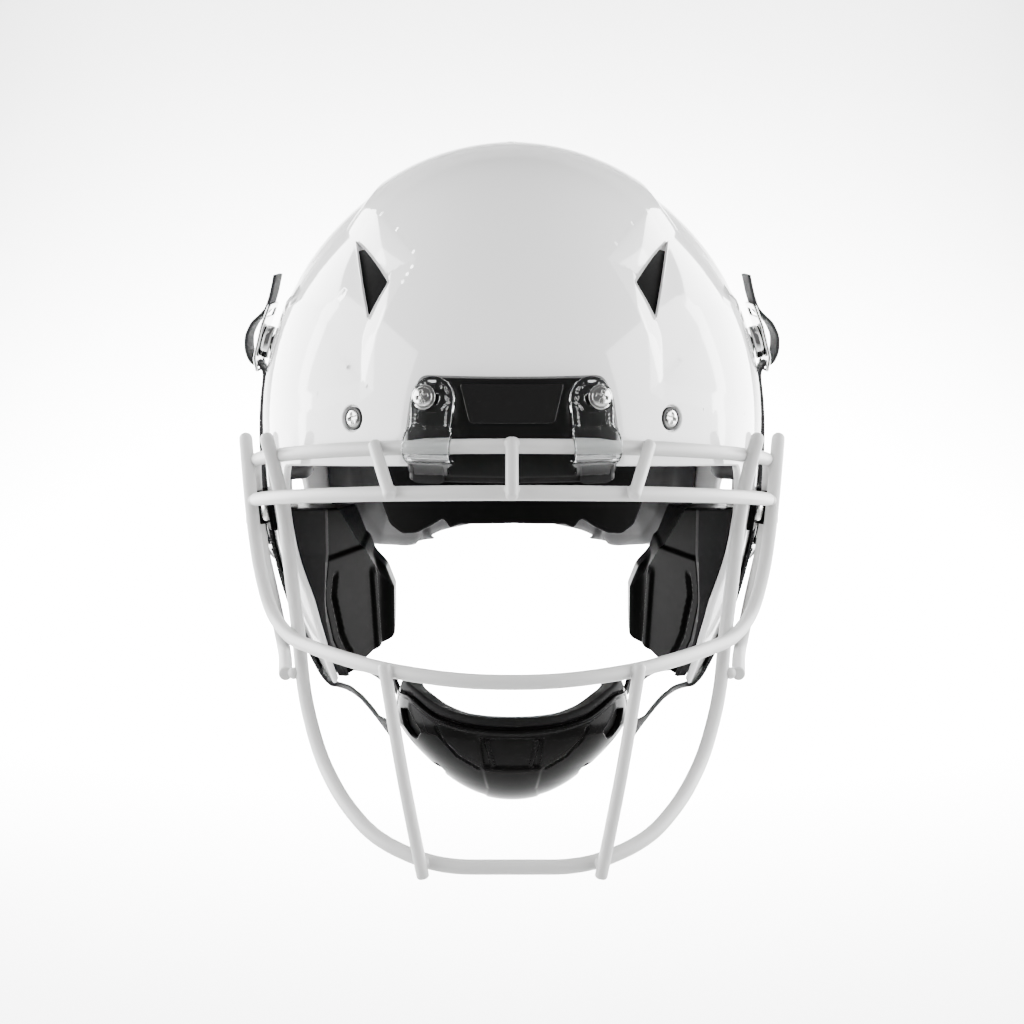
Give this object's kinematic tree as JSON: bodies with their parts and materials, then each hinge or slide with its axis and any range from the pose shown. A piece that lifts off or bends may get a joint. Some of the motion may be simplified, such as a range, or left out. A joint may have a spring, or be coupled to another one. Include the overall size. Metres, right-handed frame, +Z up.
{
  "type": "american football helmet",
  "caption": "Adult football helmet with a rigid shell, welded wire face guard, clear brow clips, padded liner and a hard chin cup on snap buckles.",
  "frame": {"origin": "middle of the wearer's head at ear level, in the mid plane, where the head holds the helmet", "axes": "+Z up along the wearer's head, -Y the way the face looks, +X the wearer's left"},
  "size_m": [0.2602, 0.3369, 0.2963],
  "materials": {
    "shell_plastic": "gloss white moulded polycarbonate",
    "bumper_rubber": "satin black rubber",
    "badge_plastic": "blank black gloss plate",
    "guard_coating": "powder coated steel wire, off-white satin",
    "clear_plastic": "clear polycarbonate",
    "black_plastic": "gloss black moulded plastic",
    "steel_screws": "nickel plated steel",
    "chrome_buckles": "bright nickel plate",
    "strap_webbing": "woven polyester webbing, charcoal",
    "jaw_pad_skin": "black vinyl skin over foam",
    "chin_foam": "matte black closed-cell foam",
    "brow_pad_skin": "matte black skinned foam",
    "liner_skin": "grey skinned cushion"
  },
  "bodies": {
    "helmet": {"badge_plate": "badge_plastic", "brow_bar": "guard_coating", "brow_bumper": "bumper_rubber", "brow_clip_left": "clear_plastic", "brow_clip_right": "clear_plastic", "brow_clip_screws": "steel_screws", "brow_clip_washers": "steel_screws", "brow_pad": "brow_pad_skin", "brow_strut_centre": "guard_coating", "brow_strut_left": "guard_coating", "brow_strut_right": "guard_coating", "chin_bar": "guard_coating", "chin_strut_left": "guard_coating", "chin_strut_right": "guard_coating", "crown_pad": "liner_skin", "crown_screw": "steel_screws", "eye_bar": "guard_coating", "jaw_pad_cover_left": "black_plastic", "jaw_pad_cover_right": "black_plastic", "jaw_pad_left": "jaw_pad_skin", "jaw_pad_right": "jaw_pad_skin", "liner_screws": "steel_screws", "lower_strap_left": "strap_webbing", "lower_strap_right": "strap_webbing", "mouth_bar": "guard_coating", "nape_bumper": "bumper_rubber", "nape_pad": "liner_skin", "nape_screws": "steel_screws", "rear_pad_left": "liner_skin", "rear_pad_right": "liner_skin", "shell": "shell_plastic", "side_clip_left": "black_plastic", "side_clip_right": "black_plastic", "side_clip_screws": "steel_screws", "side_pad_left": "liner_skin", "side_pad_right": "liner_skin", "side_wire_left": "guard_coating", "side_wire_right": "guard_coating", "strap_studs": "steel_screws", "tee_nuts": "steel_screws", "upper_strap_left": "strap_webbing", "upper_strap_right": "strap_webbing"},
    "chin_cup_body": {"chin_cup": "black_plastic", "chin_pad": "chin_foam", "upper_strap_end_right": "strap_webbing", "upper_strap_end_left": "strap_webbing", "lower_strap_end_right": "strap_webbing", "lower_strap_end_left": "strap_webbing"},
    "upper_buckle_right_body": {"upper_snap_cap_right": "chrome_buckles", "upper_buckle_right": "chrome_buckles", "upper_strap_loop_right": "strap_webbing"},
    "upper_buckle_left_body": {"upper_snap_cap_left": "chrome_buckles", "upper_buckle_left": "chrome_buckles", "upper_strap_loop_left": "strap_webbing"},
    "lower_buckle_right_body": {"lower_snap_cap_right": "chrome_buckles", "lower_buckle_right": "chrome_buckles", "lower_strap_loop_right": "strap_webbing"},
    "lower_buckle_left_body": {"lower_snap_cap_left": "chrome_buckles", "lower_buckle_left": "chrome_buckles", "lower_strap_loop_left": "strap_webbing"}
  },
  "joints": [
    {"name": "chin_cup_swing", "type": "hinge", "parent": "helmet", "child": "chin_cup_body", "pos_m": [0, -0.04, -0.08], "axis": [1, 0, 0], "range_deg": [-25, 0]},
    {"name": "upper_snap_right", "type": "slide", "parent": "helmet", "child": "upper_buckle_right_body", "axis": [-0.9669, 0.046, 0.2511], "range_m": [0, 0.008]},
    {"name": "upper_snap_left", "type": "slide", "parent": "helmet", "child": "upper_buckle_left_body", "axis": [0.9669, 0.046, 0.2511], "range_m": [0, 0.008]},
    {"name": "lower_snap_right", "type": "slide", "parent": "helmet", "child": "lower_buckle_right_body", "axis": [-0.9804, 0.0703, -0.1842], "range_m": [0, 0.008]},
    {"name": "lower_snap_left", "type": "slide", "parent": "helmet", "child": "lower_buckle_left_body", "axis": [0.9804, 0.0703, -0.1842], "range_m": [0, 0.008]}
  ]
}
